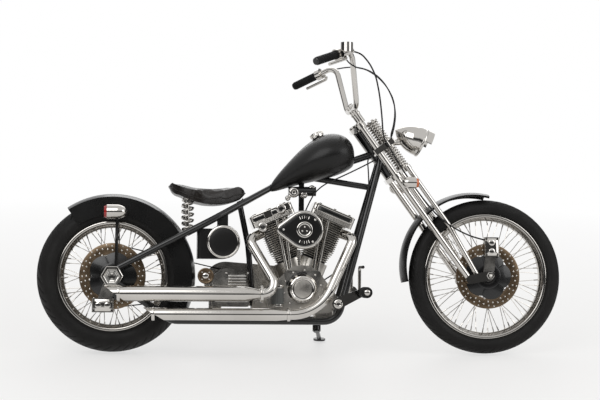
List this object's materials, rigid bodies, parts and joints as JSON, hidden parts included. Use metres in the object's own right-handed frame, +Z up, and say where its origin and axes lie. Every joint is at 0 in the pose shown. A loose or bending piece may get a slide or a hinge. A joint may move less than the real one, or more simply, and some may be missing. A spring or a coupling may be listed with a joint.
{
  "type": "bobber motorcycle",
  "caption": "Rigid-frame bobber motorcycle with a springer fork, air-cooled V-twin engine, sprung solo saddle, twin mufflers and side stand.",
  "frame": {"origin": "bottom centre of the motorcycle's bounding box, on the ground, as it leans on its side stand", "axes": "+X forward, +Y to the rider's left, +Z up"},
  "size_m": [2.3571, 0.8784, 1.3998],
  "materials": {
    "tyre_rubber": "matt black tyre rubber",
    "wheel_chrome": "polished chrome rims, spokes and hubs",
    "disc_steel": "ground disc steel, bronze grey",
    "belt_rubber": "matt toothed-belt rubber",
    "frame_black": "gloss black paint",
    "fender_black": "satin black paint",
    "tank_black": "satin black paint",
    "chrome": "polished chrome plate",
    "engine_alloy": "polished and cast aluminium",
    "case_alloy": "cast aluminium",
    "saddle_leather": "dark brown leather, slightly shiny",
    "grip_rubber": "ribbed black rubber",
    "filter_grey": "grey enamel",
    "lens_red": "red lens",
    "lens_clear": "clear fluted lens",
    "lens_amber": "amber lens",
    "hose_black": "smooth black cable sleeve"
  },
  "bodies": {
    "rear_wheel": {"rear_tyre": "tyre_rubber", "rear_wheel_rim": "wheel_chrome", "rear_disc": "disc_steel", "rear_pulley": "engine_alloy"},
    "front_wheel": {"front_tyre": "tyre_rubber", "front_wheel_rim": "wheel_chrome", "front_disc": "disc_steel"},
    "fork": {"fork_rear_legs": "chrome", "fork_front_legs": "chrome", "fork_crowns": "chrome", "fork_springs": "chrome", "fork_rockers": "chrome", "front_fender": "fender_black", "front_signals": "chrome", "front_signal_lenses": "lens_amber", "headlight": "chrome", "headlight_lens": "lens_clear", "front_caliper": "engine_alloy", "handlebar": "chrome", "grips": "grip_rubber", "hand_controls": "chrome", "brake_hose": "hose_black", "bar_cables": "hose_black"},
    "side_stand": {"side_stand": "frame_black"},
    "chassis": {"drive_belt": "belt_rubber", "rear_axle": "chrome", "frame_backbone": "frame_black", "frame_cradle_left": "frame_black", "frame_cradle_right": "frame_black", "frame_stay_left": "frame_black", "frame_stay_right": "frame_black", "frame_crossmembers": "frame_black", "rear_fender": "fender_black", "rear_signals": "chrome", "rear_signal_lenses": "lens_red", "crankcase": "case_alloy", "cam_cover": "engine_alloy", "cylinders": "case_alloy", "cylinder_heads": "case_alloy", "rocker_boxes": "chrome", "pushrod_tubes": "chrome", "carburettor": "case_alloy", "air_cleaner": "chrome", "oil_filter": "filter_grey", "gearbox": "engine_alloy", "starter": "chrome", "primary_cover": "engine_alloy", "oil_tank": "tank_black", "battery_box": "tank_black", "exhaust_rear": "chrome", "exhaust_front": "chrome", "fuel_tank": "tank_black", "fuel_cap": "chrome", "seat": "saddle_leather", "seat_springs": "chrome", "rear_caliper": "engine_alloy", "forward_controls": "chrome", "foot_pegs": "grip_rubber", "frame_cables": "hose_black", "engine_mount": "frame_black"}
  },
  "joints": [
    {"name": "rear_wheel_spin", "type": "hinge", "parent": "chassis", "child": "rear_wheel", "pos_m": [-0.84257, -0.09009, 0.33314], "axis": [-0.0001, 0.9877, -0.1564], "continuous": true},
    {"name": "steering", "type": "hinge", "parent": "chassis", "child": "fork", "pos_m": [0.32992, -0.00186, 0.88915], "axis": [-0.5871, 0.1266, 0.7996], "range_deg": [-33, 27]},
    {"name": "front_wheel_spin", "type": "hinge", "parent": "fork", "child": "front_wheel", "pos_m": [0.83134, -0.08409, 0.34227], "axis": [-0.0425, 0.9815, -0.1866], "continuous": true},
    {"name": "side_stand_fold", "type": "hinge", "parent": "chassis", "child": "side_stand", "pos_m": [0.0822, 0.01189, 0.08127], "axis": [0.0377, 0.5124, 0.8579], "range_deg": [0, 93]}
  ]
}
